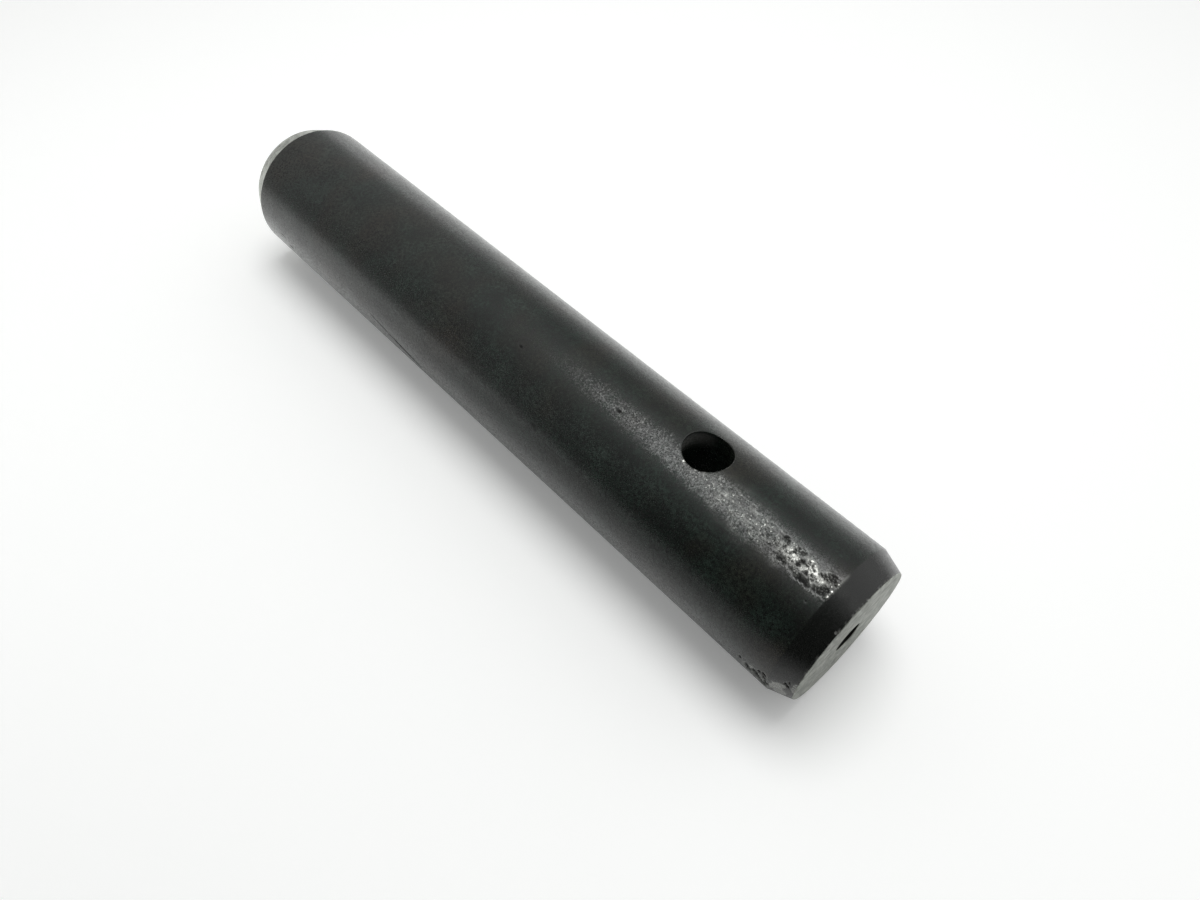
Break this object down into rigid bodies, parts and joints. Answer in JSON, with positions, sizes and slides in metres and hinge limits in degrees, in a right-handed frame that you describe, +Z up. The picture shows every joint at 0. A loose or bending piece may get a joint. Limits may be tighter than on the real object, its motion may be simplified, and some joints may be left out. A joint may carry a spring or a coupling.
{
  "type": "kingpost pin",
  "caption": "Turned steel kingpost pin with a dark heat-treated skin, lead-in tapers, bare end faces, a bolt hole across it and a drilled centre hole in its top end.",
  "frame": {"origin": "centre of the plain end face that the pin stands on", "axes": "+Z up the pin from its plain end to its drilled end, Y along the bolt hole, the mouth that the picture shows faces -Y"},
  "size_m": [0.045, 0.045, 0.244],
  "materials": {
    "pin_steel": "blackened, satin"
  },
  "bodies": {
    "root": {"kingpost_pin": "pin_steel"}
  },
  "joints": []
}
